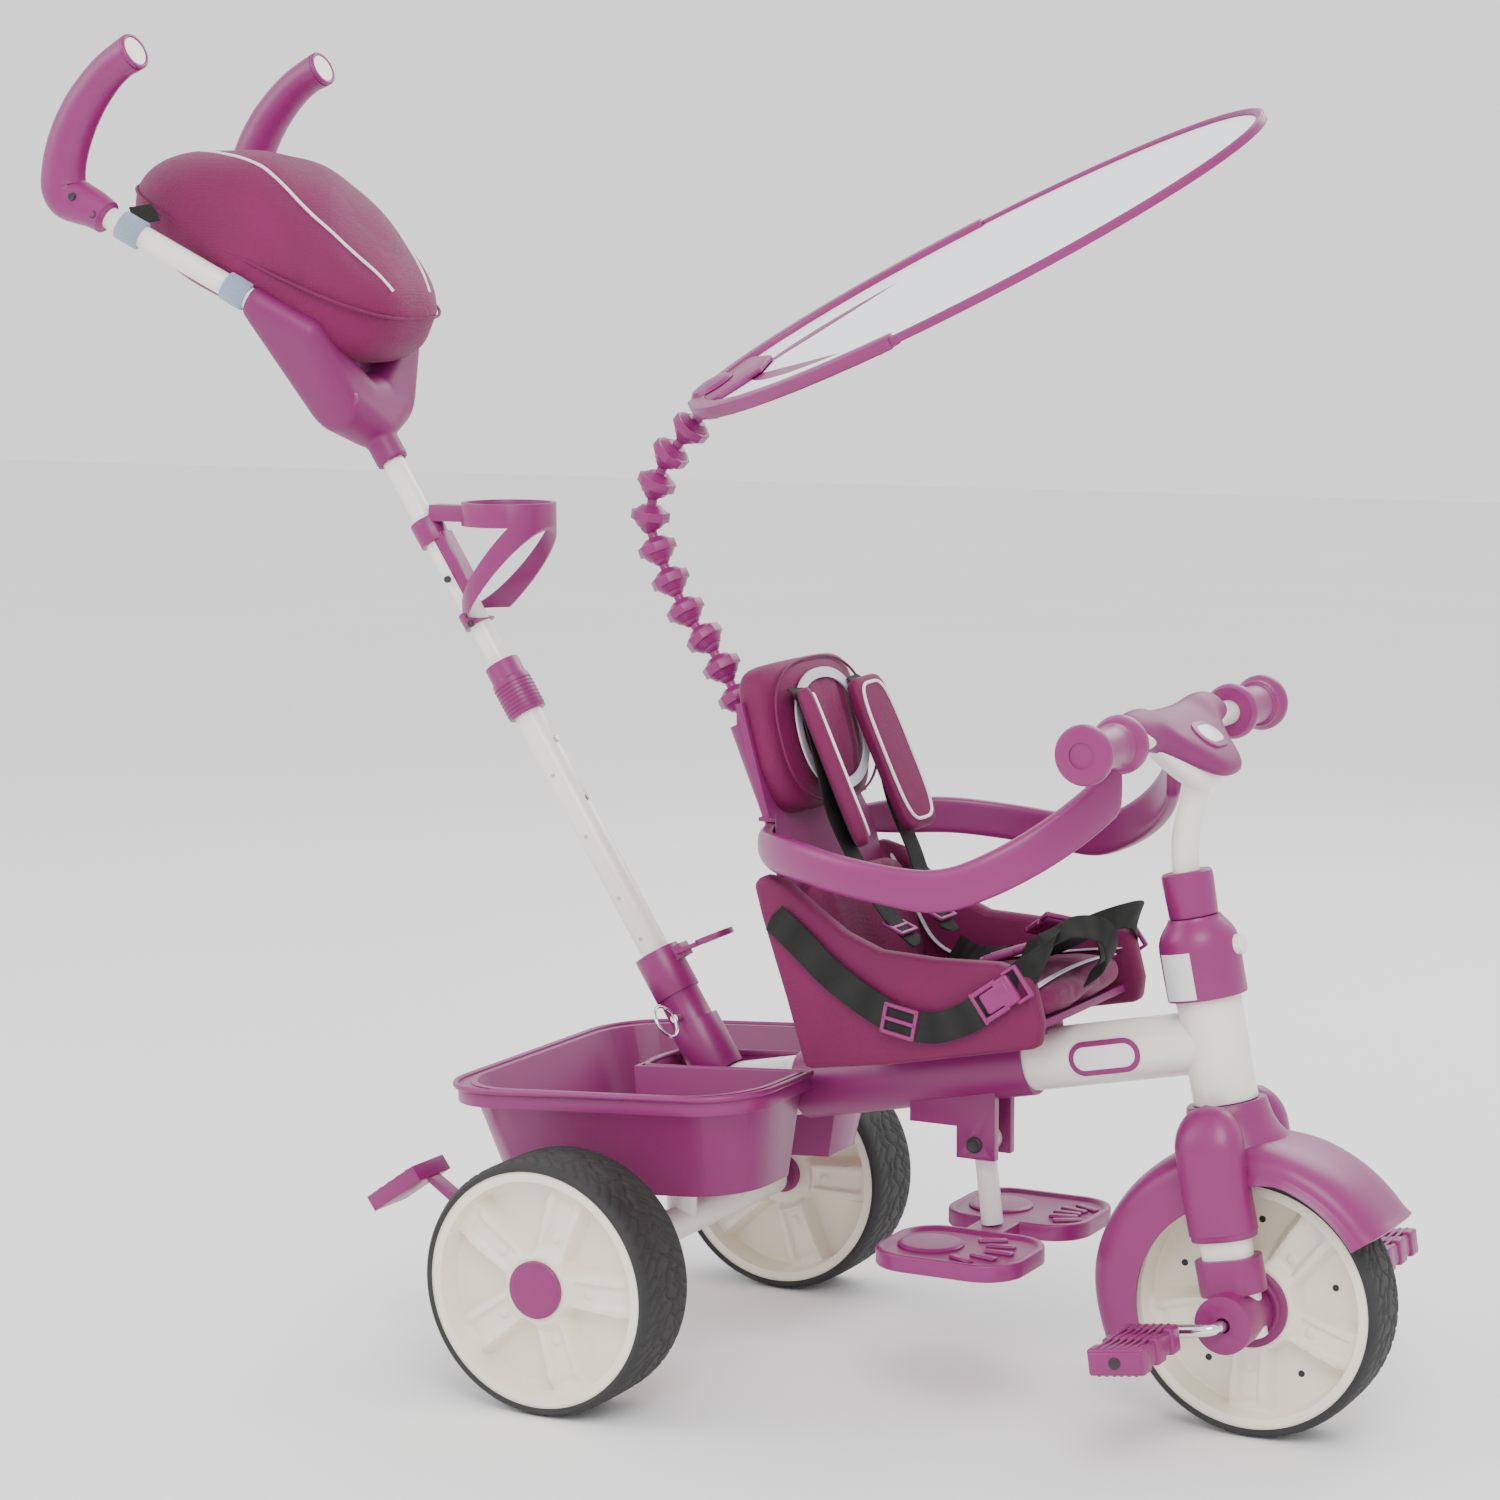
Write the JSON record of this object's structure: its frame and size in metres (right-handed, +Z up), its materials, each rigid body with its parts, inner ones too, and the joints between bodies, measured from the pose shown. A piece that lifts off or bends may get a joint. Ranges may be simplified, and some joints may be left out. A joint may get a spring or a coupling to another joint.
{
  "type": "children's tricycle",
  "caption": "Pedal tricycle for a small child with a telescoping push pole, bead-neck sun canopy, padded seat in a hinged safety ring, folding footrest and rear basket.",
  "frame": {"origin": "on the ground under the middle of the overall box", "axes": "+X forward in the riding direction, +Y to the rider's left, +Z up"},
  "size_m": [1.1988, 0.492, 1.1155],
  "materials": {
    "purple_plastic": "satin moulded plastic",
    "white_plastic": "satin moulded plastic",
    "cream_paint": "smooth gloss powder paint",
    "steel_bright": "polished plating",
    "steel": "zinc plated",
    "tyre_black": "moulded tread, semi matt",
    "purple_cloth": "padded woven cloth with pale piping",
    "dark_webbing": "woven webbing",
    "canopy_cloth": "stretched pale cloth with a coloured hem",
    "bushing_plastic": "plain moulded"
  },
  "bodies": {
    "frame": {"main_tube": "cream_paint", "head_tube": "cream_paint", "steering_bushes": "bushing_plastic", "head_cover": "purple_plastic", "rear_frame": "cream_paint", "rear_axle": "steel", "basket": "purple_plastic", "tube_sleeve": "purple_plastic", "footrest_bracket": "purple_plastic", "seat_shell": "purple_plastic", "seat_cushion": "purple_cloth", "back_cushion": "purple_cloth", "shoulder_pads": "purple_cloth", "harness": "dark_webbing", "neck_post": "purple_plastic", "ring_hub": "purple_plastic", "pole_socket": "purple_plastic", "lower_pole": "cream_paint", "pole_collar": "purple_plastic"},
    "lock_button": {"lock_button": "white_plastic"},
    "steering": {"fork": "cream_paint", "fender": "purple_plastic", "axle_housings": "purple_plastic", "stem_collar": "purple_plastic", "handlebar": "cream_paint", "handle_grips": "purple_plastic", "console_base": "white_plastic", "console_cover": "purple_plastic"},
    "front_wheel": {"front_tyre": "tyre_black", "front_rim": "white_plastic", "crank": "steel_bright"},
    "pedal_left": {"pedal_left": "purple_plastic"},
    "pedal_right": {"pedal_right": "purple_plastic"},
    "rear_wheel_left": {"rear_tyre_left": "tyre_black", "rear_rim_left": "white_plastic"},
    "rear_wheel_right": {"rear_tyre_right": "tyre_black", "rear_rim_right": "white_plastic"},
    "brake_lever_left": {"brake_lever_left": "purple_plastic"},
    "brake_lever_right": {"brake_lever_right": "purple_plastic"},
    "footrest": {"footrest_post": "cream_paint", "footrest_pads": "purple_plastic"},
    "ring_arm_left": {"ring_arm_left": "purple_plastic"},
    "ring_arm_right": {"ring_arm_right": "purple_plastic"},
    "socket_cap": {"socket_cap": "purple_plastic"},
    "pull_pin": {"pull_pin": "steel"},
    "upper_pole": {"upper_tube": "cream_paint", "cup_holder": "purple_plastic", "yoke": "purple_plastic", "yoke_tubes": "cream_paint", "push_grips": "purple_plastic", "bag": "purple_cloth"},
    "pole_button": {"pole_button": "steel"},
    "canopy": {"canopy_frame": "purple_plastic", "canopy_sheet": "canopy_cloth"},
    "neck_beads_1": {"neck_beads_1": "purple_plastic"},
    "neck_beads_2": {"neck_beads_2": "purple_plastic"},
    "neck_beads_3": {"neck_beads_3": "purple_plastic"},
    "neck_beads_4": {"neck_beads_4": "purple_plastic"},
    "neck_beads_5": {"neck_beads_5": "purple_plastic"}
  },
  "joints": [
    {"name": "steering", "type": "hinge", "parent": "frame", "child": "steering", "pos_m": [0.4865, 0, 0.106], "axis": [-0.1977, 0, 0.9803], "range_deg": [-40, 40]},
    {"name": "lock_press", "type": "slide", "parent": "frame", "child": "lock_button", "axis": [-0.9803, 0, -0.1977], "range_m": [0, 0.004], "stiffness_N_per_m": 400, "springref_m": -0.002},
    {"name": "front_wheel_spin", "type": "hinge", "parent": "steering", "child": "front_wheel", "pos_m": [0.4865, 0, 0.106], "axis": [0, 1, 0], "continuous": true},
    {"name": "pedal_left_spin", "type": "hinge", "parent": "front_wheel", "child": "pedal_left", "pos_m": [0.53196, 0.113, 0.113], "axis": [0, 1, 0], "continuous": true},
    {"name": "pedal_right_spin", "type": "hinge", "parent": "front_wheel", "child": "pedal_right", "pos_m": [0.44104, -0.113, 0.099], "axis": [0, 1, 0], "continuous": true},
    {"name": "rear_wheel_left_spin", "type": "hinge", "parent": "frame", "child": "rear_wheel_left", "pos_m": [-0.0365, 0.21, 0.1045], "axis": [0, 1, 0], "continuous": true},
    {"name": "rear_wheel_right_spin", "type": "hinge", "parent": "frame", "child": "rear_wheel_right", "pos_m": [-0.0365, -0.21, 0.1045], "axis": [0, 1, 0], "continuous": true},
    {"name": "brake_left", "type": "hinge", "parent": "frame", "child": "brake_lever_left", "pos_m": [-0.0665, 0.13, 0.1305], "axis": [0, 1, 0], "range_deg": [-14, 0]},
    {"name": "brake_right", "type": "hinge", "parent": "frame", "child": "brake_lever_right", "pos_m": [-0.0665, -0.13, 0.1305], "axis": [0, 1, 0], "range_deg": [-14, 0]},
    {"name": "footrest_fold", "type": "hinge", "parent": "frame", "child": "footrest", "pos_m": [0.2465, 0, 0.20729], "axis": [0, 1, 0], "range_deg": [0, 60]},
    {"name": "ring_left_open", "type": "hinge", "parent": "frame", "child": "ring_arm_left", "pos_m": [0.0695, 0.026, 0.4515], "axis": [0, 0, 1], "range_deg": [0, 50]},
    {"name": "ring_right_open", "type": "hinge", "parent": "frame", "child": "ring_arm_right", "pos_m": [0.0695, -0.026, 0.4515], "axis": [0, 0, 1], "range_deg": [-50, 0]},
    {"name": "socket_cap_lift", "type": "hinge", "parent": "frame", "child": "socket_cap", "pos_m": [-0.03521, 0, 0.34081], "axis": [0, -1, 0], "range_deg": [0, 40]},
    {"name": "pull_pin_out", "type": "slide", "parent": "frame", "child": "pull_pin", "axis": [0, -1, 0], "range_m": [0, 0.045]},
    {"name": "pole_extend", "type": "slide", "parent": "frame", "child": "upper_pole", "axis": [-0.5358, 0, 0.8443], "range_m": [-0.03, 0.056]},
    {"name": "pole_button_press", "type": "slide", "parent": "frame", "child": "pole_button", "axis": [-0.8443, 0, -0.5358], "range_m": [0, 0.003], "stiffness_N_per_m": 300, "springref_m": -0.001},
    {"name": "neck_bend_1", "type": "hinge", "parent": "frame", "child": "neck_beads_1", "pos_m": [0.02151, 0, 0.55324], "axis": [0, 1, 0], "range_deg": [-8, 4]},
    {"name": "neck_bend_2", "type": "hinge", "parent": "neck_beads_1", "child": "neck_beads_2", "pos_m": [-0.00815, 0, 0.60261], "axis": [0, 1, 0], "range_deg": [-8, 4]},
    {"name": "neck_bend_3", "type": "hinge", "parent": "neck_beads_2", "child": "neck_beads_3", "pos_m": [-0.04226, 0, 0.6487], "axis": [0, 1, 0], "range_deg": [-8, 4]},
    {"name": "neck_bend_4", "type": "hinge", "parent": "neck_beads_3", "child": "neck_beads_4", "pos_m": [-0.06612, 0, 0.70106], "axis": [0, 1, 0], "range_deg": [-8, 4]},
    {"name": "neck_bend_5", "type": "hinge", "parent": "neck_beads_4", "child": "neck_beads_5", "pos_m": [-0.0504, 0, 0.75589], "axis": [0, 1, 0], "range_deg": [-8, 4]},
    {"name": "canopy_tilt", "type": "hinge", "parent": "neck_beads_5", "child": "canopy", "pos_m": [-0.01223, 0, 0.79903], "axis": [0, 1, 0], "range_deg": [-20, 10]}
  ],
  "couplings": [
    {"joint": "neck_bend_2", "follows": "neck_bend_1", "ratio": 1},
    {"joint": "neck_bend_3", "follows": "neck_bend_1", "ratio": 1},
    {"joint": "neck_bend_4", "follows": "neck_bend_1", "ratio": 1},
    {"joint": "neck_bend_5", "follows": "neck_bend_1", "ratio": 1}
  ]
}
